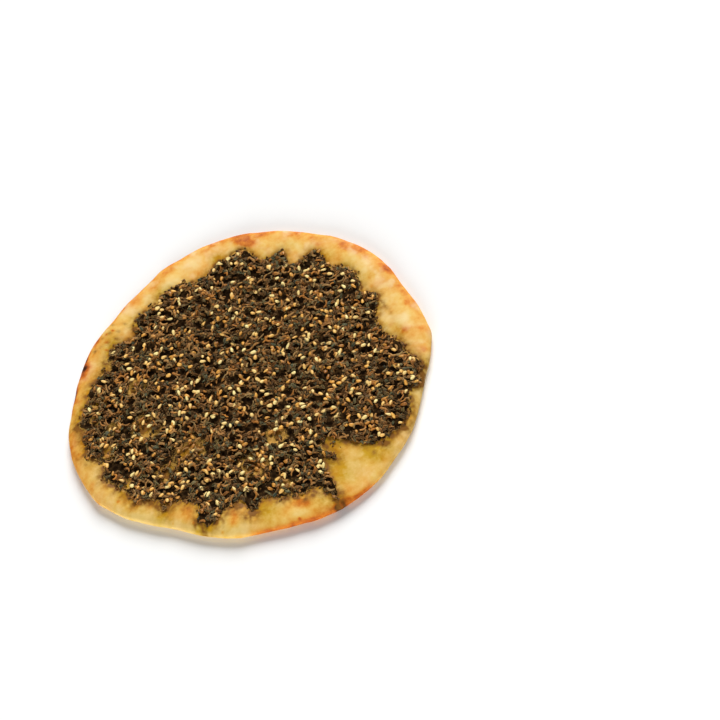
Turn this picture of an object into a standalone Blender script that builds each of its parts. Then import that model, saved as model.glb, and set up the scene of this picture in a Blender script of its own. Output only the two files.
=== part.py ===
"""A za'atar manakish: a thin round flatbread with a puffy rim, and the herb spread baked on it.

Metres, +Z up. The bread lies flat on its underside, and the origin is the middle of its
footprint. A bearing is in degrees, counter-clockwise from +X. An inset is how far a point lies
in from the bread's edge, and a spread's edge is measured the same way.
"""
from math import atan2, cos, degrees, exp, hypot, radians, sin, sqrt, tau
from random import Random

import bmesh
import bpy
from mathutils import Euler, Matrix, Vector

# Bread seen from above: mean radius, then what pushes its edge out or in.
BREAD_RADIUS = 0.1023
EDGE_WAVES = (  # waves round the edge, swing, bearing of a crest
    (2, 0.0005, 7), (3, 0.0026, 56), (4, 0.0015, 0), (7, 0.0008, -15), (10, 0.0006, -11),
)
EDGE_BULGES = (  # bearing, half-width in degrees, reach
    (18, 9, 0.0013), (92, 7, -0.0008), (115, 7, 0.0010), (160, 8, -0.0013), (205, 17, 0.0019),
    (340, 8, 0.0020),
)
SWELL_POWER = 3

# Bread in section, from its middle out to the rim and round to its underside.
FLOOR_THICKNESS = 0.0052
RIM_HEIGHT = 0.0068
RIM_INSET = 0.0085
RIM_SLOPE = 0.017
NOSE_HEIGHT = 0.0031
SHOULDER_POWER = 2.4
FOOT_INSET = 0.0045
RIM_SWELLS = (  # bearing, half-width in degrees, rise of the rim there
    (15, 14, 0.0004), (70, 12, 0.0004), (129, 9, 0.0006), (215, 10, 0.0003), (262, 8, 0.0003),
    (290, 10, -0.0005), (335, 9, 0.0002),
)

# Herb spread: the gap it keeps to the bread, its thickness, and how its edge runs.
SPREAD_GAP = 0.0003
SHOULDER_GAP = 0.0003
SHOULDER_REACH = 0.018
RIM_THINNING = 0.0006
SPREAD_THICKNESS = 0.0016
SPREAD_EDGE_THICKNESS = 0.0007
SPREAD_EDGE_SLOPE = 0.0035
SPREAD_INSET = 0.0155
SPREAD_EDGE = (  # bearing, half-width in degrees, bay (+) or cape (-)
    (13, 4.5, 0.004), (32, 4.5, 0.0045), (41.5, 3, -0.003), (49, 4.5, 0.0085), (61, 4, 0.0065),
    (65, 3, 0.0025), (71.5, 3.5, -0.003), (81, 4, 0.0015), (89.5, 6, 0.008), (107, 2.5, -0.003),
    (117, 5, -0.002), (128, 4.5, 0.0055), (139, 4, -0.001), (146, 2.5, 0.0045), (154, 5, -0.002),
    (167, 4, -0.0045), (182, 38, -0.0075), (187, 3.5, 0.0045), (204, 8, 0.0015), (227, 6, 0.002),
    (235.5, 3.6, -0.0115), (245.5, 3, 0.005), (251, 2.5, -0.003), (258, 5, 0.0025),
    (278.4, 1.9, -0.011), (289.5, 6.5, 0.023), (305, 5, -0.004), (321, 18, -0.013),
    (333, 3.5, -0.003), (344, 5, 0.001), (353, 10, 0.009),
)
SPREAD_LEAST_INSET = 0.0032
LUMP_RISE = 0.0002
LUMP_WAVES = (  # width, bearing of travel, turn of the wave at the middle in radians
    (0.019, 20, 0), (0.023, 78, 2), (0.027, 131, 4), (0.034, 165, 6),
)
THIN_PATCHES = (  # x, y, radius of the places where the spread is thin
    (-0.059, 0.027, 0.0045), (-0.063, -0.002, 0.0075), (-0.079, 0.008, 0.004),
    (-0.046, -0.029, 0.0075), (-0.062, -0.035, 0.005), (-0.018, -0.056, 0.0065),
    (-0.001, -0.046, 0.005), (-0.008, -0.078, 0.004),
)
PATCH_DEPTH = 0.0008
PATCH_POWER = 4

# Sesame seeds, a share of those on the real spread.
SEED_SIZE = (0.0033, 0.0020, 0.0011)
SEED_TAPER = 0.25
SEED_SIDES = 6
SEED_RINGS = 3
SEED_COUNT = 245
SEED_FIELD = 0.100
SEED_EDGE_CLEARANCE = 0.003
SEED_SPACING = 0.0042
SEED_JITTER = 0.0016
SEED_TILT = 10
SEED_LIFT = 0.00015
SEED_RANDOM = 7

# Rings of the two meshes, from the middle outwards: vertices, then inset or share of the radius.
FULL_RING = 120
CRUST_RINGS = (
    (15, 0.084), (30, 0.062), (60, 0.036), (FULL_RING, 0.0255), (FULL_RING, 0.0200), (FULL_RING, 0.0150),
    (FULL_RING, 0.0112), (FULL_RING, 0.0078), (FULL_RING, 0.0047), (FULL_RING, 0.0022),
    (FULL_RING, 0.0006), (FULL_RING, 0.0),
)
FOOT_STEPS = 3
SPREAD_RINGS = (
    (15, 0.07), (30, 0.14), (30, 0.21), (60, 0.29), (60, 0.37), (60, 0.45), (FULL_RING, 0.53),
    (FULL_RING, 0.61), (FULL_RING, 0.69), (FULL_RING, 0.77), (FULL_RING, 0.85), (FULL_RING, 0.93),
    (FULL_RING, 1.0),
)
SPREAD_UNDER_RINGS = (
    (FULL_RING, 1.0), (FULL_RING, 0.96), (FULL_RING, 0.90), (FULL_RING, 0.83), (60, 0.74),
    (30, 0.56), (15, 0.30),
)

SHARP_ANGLE = radians(35)
BREAD_COLOUR = (0.72, 0.46, 0.17)
BREAD_ROUGHNESS = 0.6
SPREAD_COLOUR = (0.085, 0.052, 0.022)
SPREAD_ROUGHNESS = 0.5


def bump(bearing, centre, spread):
    """A flat-topped swell round one bearing, by its distance in half-widths."""
    away = (bearing - centre + 180) % 360 - 180
    return exp(-abs(away / spread) ** SWELL_POWER)


def swells(bearing, places):
    """The sum of the swells in a list of bearing, half-width and height."""
    return sum(height * bump(bearing, centre, spread) for centre, spread, height in places)


def smooth(share):
    """An even ramp from 0 to 1 with level ends."""
    share = min(max(share, 0.0), 1.0)
    return share * share * (3 - 2 * share)


def bread_edge(bearing):
    """Radius of the bread's outline: the mean, its waves and its bulges."""
    waves = sum(swing * cos(count * radians(bearing - crest)) for count, swing, crest in EDGE_WAVES)
    return BREAD_RADIUS + waves + swells(bearing, EDGE_BULGES)


def spread_edge(bearing):
    """Radius of the spread's outline: the bread's, less an inset with bays and capes."""
    inset = SPREAD_INSET + swells(bearing, SPREAD_EDGE)
    return bread_edge(bearing) - max(inset, SPREAD_LEAST_INSET)


def crust_height(bearing, inset):
    """Height of the bread's upper side: a rounded shoulder, the rim's crest, then down to the floor."""
    crest = RIM_HEIGHT + swells(bearing, RIM_SWELLS)
    if inset < RIM_INSET:
        outward = 1 - inset / RIM_INSET
        rise = (1 - outward ** SHOULDER_POWER) ** (1 / SHOULDER_POWER)
        return NOSE_HEIGHT + (crest - NOSE_HEIGHT) * rise
    return crest - (crest - FLOOR_THICKNESS) * smooth((inset - RIM_INSET) / RIM_SLOPE)


def lumps(x, y):
    """Low lumps in the spread: the sum of plane waves of unlike width and bearing, each out of step."""
    total = 0.0
    for width, bearing, turn in LUMP_WAVES:
        travel = x * cos(radians(bearing)) + y * sin(radians(bearing))
        total += cos(tau * travel / width + turn)
    return LUMP_RISE * total


def spread_height(bearing, radius):
    """Height of the spread's upper side: thin at its edge and in its patches, lumpy elsewhere."""
    x, y = radius * cos(radians(bearing)), radius * sin(radians(bearing))
    body = smooth((spread_edge(bearing) - radius) / SPREAD_EDGE_SLOPE)
    inset = bread_edge(bearing) - radius
    full = SPREAD_THICKNESS - RIM_THINNING * (1 - smooth(inset / SHOULDER_REACH))
    thickness = SPREAD_EDGE_THICKNESS + (full - SPREAD_EDGE_THICKNESS + lumps(x, y)) * body
    for patch_x, patch_y, patch_radius in THIN_PATCHES:
        away = hypot(x - patch_x, y - patch_y) / patch_radius
        thickness -= PATCH_DEPTH * exp(-away ** PATCH_POWER)
    return spread_underside(bearing, radius) + thickness


def spread_underside(bearing, radius):
    """Height of the spread's underside, a gap above the bread that widens over the rim's curve."""
    inset = bread_edge(bearing) - radius
    gap = SPREAD_GAP + SHOULDER_GAP * (1 - smooth(inset / SHOULDER_REACH))
    return crust_height(bearing, inset) + gap


def spread_ring(bearing, share):
    """Radius of a ring of the spread: round near the middle, and more like its edge further out."""
    edge = spread_edge(bearing) - SPREAD_EDGE_THICKNESS
    middle = BREAD_RADIUS - SPREAD_INSET
    return share * (middle + (edge - middle) * share * share)


def polar(bearing, radius, height):
    """The point at a bearing, a radius and a height."""
    return Vector((radius * cos(radians(bearing)), radius * sin(radians(bearing)), height))


def loft(upper, lower):
    """A closed body through rings of count and place: out from the top's middle, then back in below.

    The rings start as circles on a double cone, so that they bridge without a twist, also where
    their counts differ. Then each vertex moves to place(bearing)."""
    mesh = bmesh.new()
    rings = upper + lower
    widest = len(upper) - 1
    circles = []
    for index, (count, _) in enumerate(rings):
        radius = 1 - abs(widest - index) / len(rings)
        level = Matrix.Translation((0, 0, (widest - index) / len(rings)))
        circles.append(bmesh.ops.create_circle(mesh, segments=count, radius=radius, matrix=level)["verts"])
    loops = [list({edge for vert in circle for edge in vert.link_edges}) for circle in circles]
    for inner, outer in zip(loops, loops[1:]):
        bmesh.ops.bridge_loops(mesh, edges=inner + outer)
    for end in (loops[0], loops[-1]):
        bmesh.ops.contextual_create(mesh, geom=end)
    for circle, (_, place) in zip(circles, rings):
        for vert in circle:
            vert.co = place(degrees(atan2(vert.co.y, vert.co.x)) % 360)
    return mesh


def finish(mesh, name, material, collection):
    """Turns a bmesh into a named object whose faces point outwards."""
    bmesh.ops.triangulate(mesh, faces=mesh.faces)
    bmesh.ops.recalc_face_normals(mesh, faces=mesh.faces)
    data = bpy.data.meshes.new(name)
    mesh.to_mesh(data)
    mesh.free()
    data.shade_smooth()
    data.materials.append(material)
    piece = bpy.data.objects.new(name, data)
    collection.objects.link(piece)
    return piece


def make_material(name, colour, roughness):
    """A Principled material of one colour."""
    material = bpy.data.materials.new(name)
    material.use_nodes = True
    shader = material.node_tree.nodes["Principled BSDF"]
    shader.inputs["Base Color"].default_value = (*colour, 1.0)
    shader.inputs["Roughness"].default_value = roughness
    shader.inputs["Metallic"].default_value = 0.0
    material.diffuse_color = (*colour, 1.0)
    return material


def make_bread(collection):
    """The dough: crust rings out to the nose of the edge, then a rounded foot and a flat underside."""
    def on_crust(inset):
        def place(bearing):
            return polar(bearing, bread_edge(bearing) - inset, crust_height(bearing, inset))
        return place

    def on_foot(turn):
        inset = FOOT_INSET * (1 - cos(turn))
        height = NOSE_HEIGHT * (1 - sin(turn))

        def place(bearing):
            return polar(bearing, bread_edge(bearing) - inset, height)
        return place

    crust = [(count, on_crust(inset)) for count, inset in CRUST_RINGS]
    foot = [(FULL_RING, on_foot(tau / 4 * step / FOOT_STEPS)) for step in range(1, FOOT_STEPS + 1)]
    material = make_material("baked_dough", BREAD_COLOUR, BREAD_ROUGHNESS)
    return finish(loft(crust, foot), "bread", material, collection)


def make_spread(collection):
    """The herb spread: a lumpy upper side, a thin rounded edge, and an underside that follows the bread."""
    def on_top(share):
        def place(bearing):
            radius = spread_ring(bearing, share)
            return polar(bearing, radius, spread_height(bearing, radius))
        return place

    def on_edge(bearing):
        radius = spread_edge(bearing)
        return polar(bearing, radius, spread_underside(bearing, radius) + SPREAD_EDGE_THICKNESS / 2)

    def on_underside(share):
        def place(bearing):
            radius = spread_ring(bearing, share)
            return polar(bearing, radius, spread_underside(bearing, radius))
        return place

    top = [(count, on_top(share)) for count, share in SPREAD_RINGS]
    underside = [(count, on_underside(share)) for count, share in SPREAD_UNDER_RINGS]
    material = make_material("zaatar_spread", SPREAD_COLOUR, SPREAD_ROUGHNESS)
    return finish(loft(top + [(FULL_RING, on_edge)], underside), "zaatar_topping", material, collection)


def seed_places(spread):
    """Even places for the seeds: a sunflower spiral with a seeded shake, kept off the edge and each other.

    Each seed is dropped on to the spread's faces, so that it is sunk alike everywhere."""
    chance = Random(SEED_RANDOM)
    golden_turn = 180 * (3 - sqrt(5))
    places = []
    for index in range(SEED_COUNT):
        bearing = index * golden_turn
        radius = SEED_FIELD * sqrt((index + 0.5) / SEED_COUNT)
        spot = polar(bearing, radius, 0)
        spot += Vector((chance.uniform(-1, 1), chance.uniform(-1, 1), 0)) * SEED_JITTER
        tilts = [radians(chance.uniform(-SEED_TILT, SEED_TILT)) for _ in "xy"]
        turn = Euler([*tilts, chance.uniform(0, tau)])
        bearing, radius = degrees(atan2(spot.y, spot.x)) % 360, spot.length
        if radius > spread_edge(bearing) - SEED_EDGE_CLEARANCE:
            continue
        if all((spot.xy - other.xy).length > SEED_SPACING for other, _ in places):
            _, surface, _, _ = spread.ray_cast(spot + Vector((0, 0, 1)), Vector((0, 0, -1)))
            places.append((surface + Vector((0, 0, SEED_LIFT)), turn))
    return places


def make_seed(place, turn, seeds):
    """One sesame seed: a few-sided flattened sphere, pinched to a tear at one end."""
    mesh = bmesh.new()
    bmesh.ops.create_uvsphere(mesh, u_segments=SEED_SIDES, v_segments=SEED_RINGS, radius=0.5)
    for vert in mesh.verts:
        vert.co.y *= 1 - SEED_TAPER * 2 * vert.co.x
        vert.co = Vector(size * share for size, share in zip(SEED_SIZE, vert.co))
    pose = Matrix.Translation(place) @ turn.to_matrix().to_4x4()
    bmesh.ops.transform(mesh, matrix=pose, verts=mesh.verts)
    bmesh.ops.recalc_face_normals(mesh, faces=mesh.faces)
    data = bpy.data.meshes.new("sesame_seed")
    mesh.to_mesh(data)
    mesh.free()
    seed = bpy.data.objects.new("sesame_seed", data)
    seeds.objects.link(seed)


def fuse_seeds(spread, seeds):
    """Joins the seeds to the spread in one Boolean union, applies it and removes the seeds."""
    union = spread.modifiers.new("seeds", "BOOLEAN")
    union.operation = "UNION"
    union.operand_type = "COLLECTION"
    union.collection = seeds
    union.solver = "EXACT"
    evaluated = spread.evaluated_get(bpy.context.evaluated_depsgraph_get())
    joined = bpy.data.meshes.new_from_object(evaluated)
    joined.shade_smooth()
    joined.set_sharp_from_angle(angle=SHARP_ANGLE)
    spread.modifiers.remove(union)
    spread.data = joined
    for seed in list(seeds.objects):
        bpy.data.objects.remove(seed)
    bpy.data.collections.remove(seeds)


def centre_footprint(pieces):
    """Moves every mesh so that the middle of the bread's footprint is the origin."""
    corners = [vert.co for vert in pieces[0].data.vertices]
    middle_x = (min(c.x for c in corners) + max(c.x for c in corners)) / 2
    middle_y = (min(c.y for c in corners) + max(c.y for c in corners)) / 2
    for piece in pieces:
        piece.data.transform(Matrix.Translation((-middle_x, -middle_y, 0)))


def new_collection(name):
    """A collection under the scene's own."""
    collection = bpy.data.collections.new(name)
    bpy.context.scene.collection.children.link(collection)
    return collection


def main():
    for item in list(bpy.data.objects):
        bpy.data.objects.remove(item)
    manakish = new_collection("manakish")
    seeds = new_collection("seeds")
    bread = make_bread(manakish)
    spread = make_spread(manakish)
    bpy.context.view_layer.update()
    for place, turn in seed_places(spread):
        make_seed(place, turn, seeds)
    fuse_seeds(spread, seeds)
    centre_footprint([bread, spread])


main()
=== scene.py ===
"""A za'atar manakish as it looks: baked dough with a toasted rim, oiled herb paste, dried herb
leaves, curls and crumbs, and sesame seeds.

Metres, +Z up, in the frame's own axes. A bearing is in degrees, counter-clockwise from +X, about
the middle of the bread's form. An inset is how far a point lies in from the bread's edge.
"""
from collections import namedtuple
from math import cos, radians, sin, tau

import bpy
import numpy as np
from bpy.props import FloatProperty, FloatVectorProperty, IntProperty, PointerProperty
from mathutils import Matrix, Vector


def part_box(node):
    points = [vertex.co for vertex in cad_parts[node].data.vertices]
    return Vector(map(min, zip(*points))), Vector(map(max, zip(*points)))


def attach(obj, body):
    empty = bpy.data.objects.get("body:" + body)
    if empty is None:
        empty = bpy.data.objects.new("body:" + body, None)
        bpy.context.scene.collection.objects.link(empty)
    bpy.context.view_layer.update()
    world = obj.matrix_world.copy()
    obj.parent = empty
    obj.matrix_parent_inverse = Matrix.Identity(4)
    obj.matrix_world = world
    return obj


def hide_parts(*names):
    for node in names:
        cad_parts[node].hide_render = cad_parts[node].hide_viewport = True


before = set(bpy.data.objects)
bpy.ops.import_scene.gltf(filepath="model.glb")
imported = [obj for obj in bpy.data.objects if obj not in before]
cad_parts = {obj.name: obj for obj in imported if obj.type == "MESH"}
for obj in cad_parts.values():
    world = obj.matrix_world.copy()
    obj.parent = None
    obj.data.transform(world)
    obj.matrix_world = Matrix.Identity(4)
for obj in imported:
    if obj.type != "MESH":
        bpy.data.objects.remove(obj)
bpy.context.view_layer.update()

bl_info = {
    "name": "Manakish",
    "version": (1, 0, 0),
    "blender": (4, 5, 0),
    "location": "View3D > Sidebar > Manakish",
    "description": "A baked flatbread with za'atar, sesame and a toasted rim",
    "category": "Add Mesh",
}

BODY = "root"

# The bread's outline: mean radius, waves as (count, swing, bearing of a crest), bulges as
# (bearing, half-width in degrees, reach).
BREAD_RADIUS = 0.1023
EDGE_WAVES = ((2, 0.0005, 7), (3, 0.0026, 56), (4, 0.0015, 0), (7, 0.0008, -15), (10, 0.0006, -11))
EDGE_BULGES = (
    (18, 9, 0.0013), (92, 7, -0.0008), (115, 7, 0.001), (160, 8, -0.0013), (205, 17, 0.0019),
    (340, 8, 0.002),
)

# The bread's section, from its floor out to the rim and round to its underside. Swells of the
# rim as (bearing, half-width, rise).
FLOOR_THICKNESS = 0.0052
RIM_HEIGHT = 0.0068
RIM_INSET = 0.0085
RIM_SLOPE = 0.017
NOSE_HEIGHT = 0.0031
SHOULDER_POWER = 2.4
FOOT_INSET = 0.0045
RIM_SWELLS = (
    (15, 14, 0.0004), (70, 12, 0.0004), (129, 9, 0.0006), (215, 10, 0.0003), (262, 8, 0.0003),
    (290, 10, -0.0005), (335, 9, 0.0002),
)

# The paste's outline as an inset, with bays (+) and capes (-) as (bearing, half-width, depth),
# and its thickness.
SPREAD_INSET = 0.0155
SPREAD_LEAST_INSET = 0.0032
SPREAD_EDGE = (
    (13, 4.5, 0.004), (32, 4.5, 0.0045), (41.5, 3, -0.003), (49, 4.5, 0.0085), (61, 4, 0.0065),
    (65, 3, 0.0025), (71.5, 3.5, -0.003), (81, 4, 0.0015), (89.5, 6, 0.008), (107, 2.5, -0.003),
    (117, 5, -0.002), (128, 4.5, 0.0055), (139, 4, -0.001), (146, 2.5, 0.0045), (154, 5, -0.002),
    (167, 4, -0.0045), (182, 38, -0.0075), (187, 3.5, 0.0045), (204, 8, 0.0015), (227, 6, 0.002),
    (235.5, 3.6, -0.0115), (245.5, 3, 0.005), (251, 2.5, -0.003), (258, 5, 0.0025), (278.4, 1.9, -0.011),
    (289.5, 6.5, 0.023), (305, 5, -0.004), (321, 18, -0.013), (333, 3.5, -0.003), (344, 5, 0.001),
    (353, 10, 0.009),
)
SPREAD_GAP = 0.0003
SPREAD_THICKNESS = 0.0016
SPREAD_EDGE_THICKNESS = 0.0007
SPREAD_EDGE_SLOPE = 0.0035
SHOULDER_REACH = 0.018
RIM_THINNING = 0.0006

# The paste's small lobes, out (+) or in (-), as (bearing, half-width, reach), over a noise.
EDGE_LOBES = 0.0014
EDGE_MARGIN = 0.0014
EDGE_DETAILS = (
    (4, 5, 0.0007), (18, 7, -0.0016), (41, 3, -0.001), (72, 3, -0.001), (97, 5, -0.0018),
    (111, 7, -0.0022), (120, 3, 0.001), (140, 5, -0.0014), (146, 2.5, 0.003), (150.5, 3.5, -0.002),
    (158, 6, -0.0012), (168, 4, -0.0038), (175, 4, -0.0024), (186, 4, -0.0016), (193, 4, -0.002),
    (199, 3, -0.0008), (204, 10, -0.002), (208, 2.2, 0.0036), (219, 1.1, 0.005), (225, 3, 0.0008),
    (232, 2.6, 0.003), (241, 3, 0.0012), (256, 4, -0.0014), (264, 3, -0.0008), (272, 2, -0.0014),
    (276.6, 1.2, 0.0034), (281.6, 2.8, -0.0088), (286.1, 1.7, 0.0105), (289.8, 3, 0.005), (300, 2, 0.002),
    (304.5, 2.4, -0.0018), (309.5, 2.6, 0.0004), (319.5, 3.5, -0.0036), (328, 4.5, 0.0036),
    (336.5, 4, -0.005),
)

# Where the paste is worn thin: x, y, radius.
PATCH_DEPTH = 0.0008
THIN_PATCHES = (
    (-0.059, 0.027, 0.0045), (-0.063, -0.002, 0.0075), (-0.079, 0.008, 0.004), (-0.046, -0.029, 0.0075),
    (-0.062, -0.035, 0.005), (-0.018, -0.056, 0.0065), (-0.001, -0.046, 0.005), (-0.008, -0.078, 0.004),
    (0.0215, -0.0672, 0.0042), (-0.081, 0.0295, 0.004), (-0.0696, 0.0506, 0.0034),
    (-0.0846, -0.0308, 0.0032), (-0.087, -0.006, 0.0034), (-0.087, 0.0185, 0.0024),
)

# Where the crust is baked darker, paler or burnt, and where a strip of its lower edge is painted lighter:
# bearing, inset, half-lengths along and across, strength.
BAKE_SPOTS = (
    (3, 0.0025, 0.008, 0.002, 0.12), (15, 0.0022, 0.0055, 0.0028, 0.28), (26, 0.004, 0.006, 0.003, 0.28),
    (33, 0.005, 0.006, 0.004, 0.46), (45, 0.007, 0.007, 0.004, 0.16), (64, 0.004, 0.005, 0.0036, 0.3),
    (67.5, 0.0102, 0.0046, 0.003, 0.56), (70.5, 0.0045, 0.005, 0.006, 0.66),
    (88, 0.005, 0.007, 0.0024, 0.1), (100, 0.0065, 0.005, 0.0025, 0.16), (108, 0.007, 0.006, 0.003, 0.1),
    (146, 0.005, 0.008, 0.003, 0.22), (151, 0.002, 0.006, 0.002, 0.12), (225, 0.01, 0.006, 0.004, 0.16),
    (237, 0.002, 0.003, 0.0016, 0.1), (244.5, 0.011, 0.0032, 0.0045, 0.34),
    (261, 0.005, 0.003, 0.002, 0.14), (267, 0.0105, 0.008, 0.0044, 0.52), (271, 0.003, 0.004, 0.003, 0.08),
    (278.8, 0.0008, 0.0034, 0.0022, 0.4), (289, 0.0335, 0.0028, 0.0034, 0.22),
    (338, 0.0036, 0.006, 0.0044, 0.2), (345, 0.0042, 0.0024, 0.002, 0.22),
    (346.5, 0.0126, 0.0026, 0.0026, 0.38), (353, 0.017, 0.009, 0.003, 0.1),
    (357, 0.0044, 0.003, 0.0026, 0.32),
)
PALE_SPOTS = (
    (26, 0.011, 0.007, 0.0045, 0.3), (50, 0.012, 0.008, 0.004, 0.1), (56.5, 0.004, 0.004, 0.0034, 0.22),
    (74, 0.013, 0.005, 0.0024, 0.25), (90, 0.0105, 0.008, 0.0045, 0.28), (101, 0.013, 0.009, 0.0034, 0.36),
    (119, 0.009, 0.005, 0.005, 0.22), (182, 0.012, 0.0026, 0.004, 0.24), (192, 0.006, 0.007, 0.002, 0.1),
    # The strips at 214 and 230 run along the very edge of the lower side: partly less baked dough, partly
    # painted light where the lamps leave that side darker.
    (202, 0.004, 0.006, 0.0024, 0.14), (214, 0.001, 0.026, 0.0024, 0.2), (230, 0.001, 0.026, 0.0022, 0.34),
    (240.5, 0.006, 0.003, 0.004, 0.2), (247, 0.0035, 0.008, 0.003, 0.26), (256, 0.01, 0.006, 0.007, 0.16),
    (266, 0.005, 0.006, 0.0018, 0.2), (273.5, 0.007, 0.0018, 0.004, 0.12), (286, 0.012, 0.012, 0.008, 0.2),
    (351, 0.0085, 0.008, 0.0034, 0.14),
)
BURNT_SPOTS = (
    (129, 0.0075, 0.0008, 0.0012, 0.5), (131, 0.005, 0.0012, 0.001, 0.45),
    (134, 0.002, 0.0036, 0.0014, 0.34), (134, 0.0085, 0.0013, 0.0014, 0.5),
    (137, 0.011, 0.0009, 0.0012, 0.55), (141.3, 0.0008, 0.0028, 0.0014, 0.44),
    (145, 0.002, 0.0044, 0.0024, 0.46), (148, 0.0034, 0.002, 0.0016, 0.24),
    (155.5, 0.0002, 0.005, 0.0014, 0.44), (170, 0.003, 0.003, 0.0024, 0.16),
    (203, 0.006, 0.001, 0.001, 0.4), (224, 0.0016, 0.001, 0.001, 0.5), (231, 0.0042, 0.0012, 0.001, 0.5),
    (241, 0.002, 0.001, 0.001, 0.5), (265, 0.0018, 0.0009, 0.0009, 0.45),
    (276.2, 0.0002, 0.0012, 0.0016, 0.5), (278, 0.001, 0.0014, 0.0024, 0.34),
)

# The toasted outer band: bearing, half-width, strength, reach.
BAKE_BANDS = (
    (28, 34, 0.28, 0.0052), (95, 34, 0.3, 0.0052), (148, 15, 0.24, 0.0044), (172, 14, 0.12, 0.006),
    # The paler band at 222 is partly less baked dough and partly painted light on the lower side's edge.
    (189, 13, 0.13, 0.0062), (222, 20, -0.1, 0.004), (262, 14, 0.42, 0.0015), (281, 7, 0.44, 0.0014),
    (322, 22, -0.14, 0.005),
)

# Where oil or the herbs' juice has soaked more (+) or less (-), in the columns of the bake spots.
OIL_SPOTS = (
    (36, 0.015, 0.006, 0.0034, 0.45), (80, 0.014, 0.006, 0.0034, 0.45), (90, 0.011, 0.008, 0.004, -0.14),
    (98, 0.015, 0.009, 0.005, -0.6), (110, 0.011, 0.006, 0.0034, 0.3), (132, 0.008, 0.014, 0.007, 0.3),
    (158, 0.006, 0.012, 0.005, 0.1), (182, 0.012, 0.004, 0.004, 0.3), (222, 0.002, 0.04, 0.004, 0.14),
    (256, 0.0095, 0.0062, 0.008, 0.45), (272, 0.007, 0.005, 0.005, 0.3), (284, 0.018, 0.005, 0.008, 0.3),
    (288, 0.015, 0.012, 0.007, 0.42), (289, 0.033, 0.006, 0.005, 0.2), (295.5, 0.011, 0.004, 0.006, 0.6),
    (297, 0.004, 0.009, 0.004, 0.3), (319, 0.001, 0.028, 0.0034, -0.3), (348, 0.0155, 0.008, 0.003, 0.4),
)
STAIN_SPOTS = (
    (1, 0.0155, 0.009, 0.0014, 0.4), (30, 0.0135, 0.014, 0.004, -0.3), (62, 0.0145, 0.008, 0.004, -0.25),
    (80, 0.0125, 0.006, 0.004, -0.3), (98, 0.0155, 0.01, 0.004, -0.8), (124.5, 0.01, 0.0012, 0.0013, 0.5),
    (126.5, 0.004, 0.0013, 0.0014, 0.6), (128.5, 0.0106, 0.0013, 0.0012, 0.5),
    (130.5, 0.0062, 0.0015, 0.0013, 0.65), (131.5, 0.0122, 0.0015, 0.0013, 0.5),
    (133, 0.0036, 0.0011, 0.0011, 0.5), (134.5, 0.0092, 0.0017, 0.0015, 0.7),
    (136.5, 0.0072, 0.0012, 0.0012, 0.55), (138.5, 0.0045, 0.0013, 0.0013, 0.65),
    (160, 0.005, 0.008, 0.003, -0.2), (168, 0.0055, 0.004, 0.002, 0.3), (169, 0.003, 0.0012, 0.003, 0.4),
    (196, 0.01, 0.006, 0.0026, 0.2), (208, 0.0092, 0.005, 0.0028, 0.6), (218, 0.0075, 0.002, 0.003, 0.4),
    (224, 0.013, 0.006, 0.0014, 0.25), (241, 0.011, 0.0014, 0.005, 0.3), (246, 0.015, 0.003, 0.003, 0.4),
    (250, 0.009, 0.0046, 0.0036, 0.55), (267, 0.013, 0.007, 0.0026, 0.35),
    (272, 0.012, 0.0026, 0.003, 0.25), (277, 0.003, 0.0016, 0.004, 0.6),
    (281.5, 0.014, 0.003, 0.006, -0.35), (283.2, 0.017, 0.0045, 0.008, -0.45),
    (289, 0.032, 0.006, 0.006, -0.45), (294, 0.019, 0.008, 0.005, -0.25),
    (296.5, 0.0095, 0.003, 0.0026, 0.35), (300, 0.008, 0.003, 0.0024, 0.3),
    (310, 0.003, 0.004, 0.0016, 0.35), (322, 0.009, 0.008, 0.002, 0.4),
    (328.5, 0.0016, 0.007, 0.0018, 0.55),
)

# The side that took the most oil and juice, as a bearing and half-width.
STAINED_SIDE = (245, 100)

# Blisters of the crust, in the columns of the bake spots, with their height last.
BLISTERS = (
    (15, 0.0035, 0.004, 0.004, 0.0004), (70, 0.0052, 0.006, 0.006, 0.0005),
    (100, 0.006, 0.006, 0.006, 0.0004), (129, 0.0085, 0.0048, 0.0048, 0.0007),
    (246, 0.006, 0.004, 0.004, 0.0005), (262, 0.0075, 0.005, 0.005, 0.0004),
    (287, 0.015, 0.006, 0.006, 0.0006), (295, 0.0095, 0.005, 0.005, 0.0005),
    (347, 0.011, 0.003, 0.003, 0.0004),
)

# Noise: width of its squares, seed, and the number of layers where it has any.
LOBES = (0.005, 5, 3)
PUFFS = (0.013, 11, 2)
WRINKLES = (0.0035, 21, 3)
UNDER_HOLLOWS = (0.016, 31, 3)
MOTTLE = (0.012, 41, 3)
FINE_MOTTLE = (0.0046, 51, 3)
UNDER_BLOTCHES = (0.019, 61, 4)
FRECKLES = (0.0045, 71, 2)
OIL_PATCHES = (0.009, 81)
FEATHERS = (0.0018, 92)
SPECKLES = (0.0024, 98, 2)
ROSY_PATCHES = (0.0085, 93, 2)
FLOUR = (0.0065, 97, 3)
PATCH_WARPS = ((0.003, 6), (0.003, 7))
WORN_EDGE = (0.0045, 9)
GRAINS = (0.0019, 3)
GRIT = (0.0011, 4)
LUMPS = (0.011, 8, 2)
TINT_PATCHES = (0.012, 91)
LATTICE = 256
LATTICE_TURN = 0.7
LAYERED_GAIN = 1.4

# The dough's relief, bake, oil and stain: a length, then shares of the settings, then the bakes at
# which rosy patches and flour end.
BARE_REACH = 0.003
UNDER_BLOTCH_BAKE = 0.22
UNDER_FRECKLE_BAKE = 0.25
OIL_LINE = 0.55
OIL_SOAKED = 0.34
OIL_PATCHINESS = 0.3
STAIN_STRENGTH = 0.65
STAIN_EXTRA = 0.3
STAIN_WIDER = 0.7
FEATHERING = 0.5
SPECKLING = 0.9
SQUEEZE = 0.35
ROSY_MOST_BAKE = 0.35
FLOUR_MOST_BAKE = 0.5
BAKE_STEP = 0.2
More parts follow.
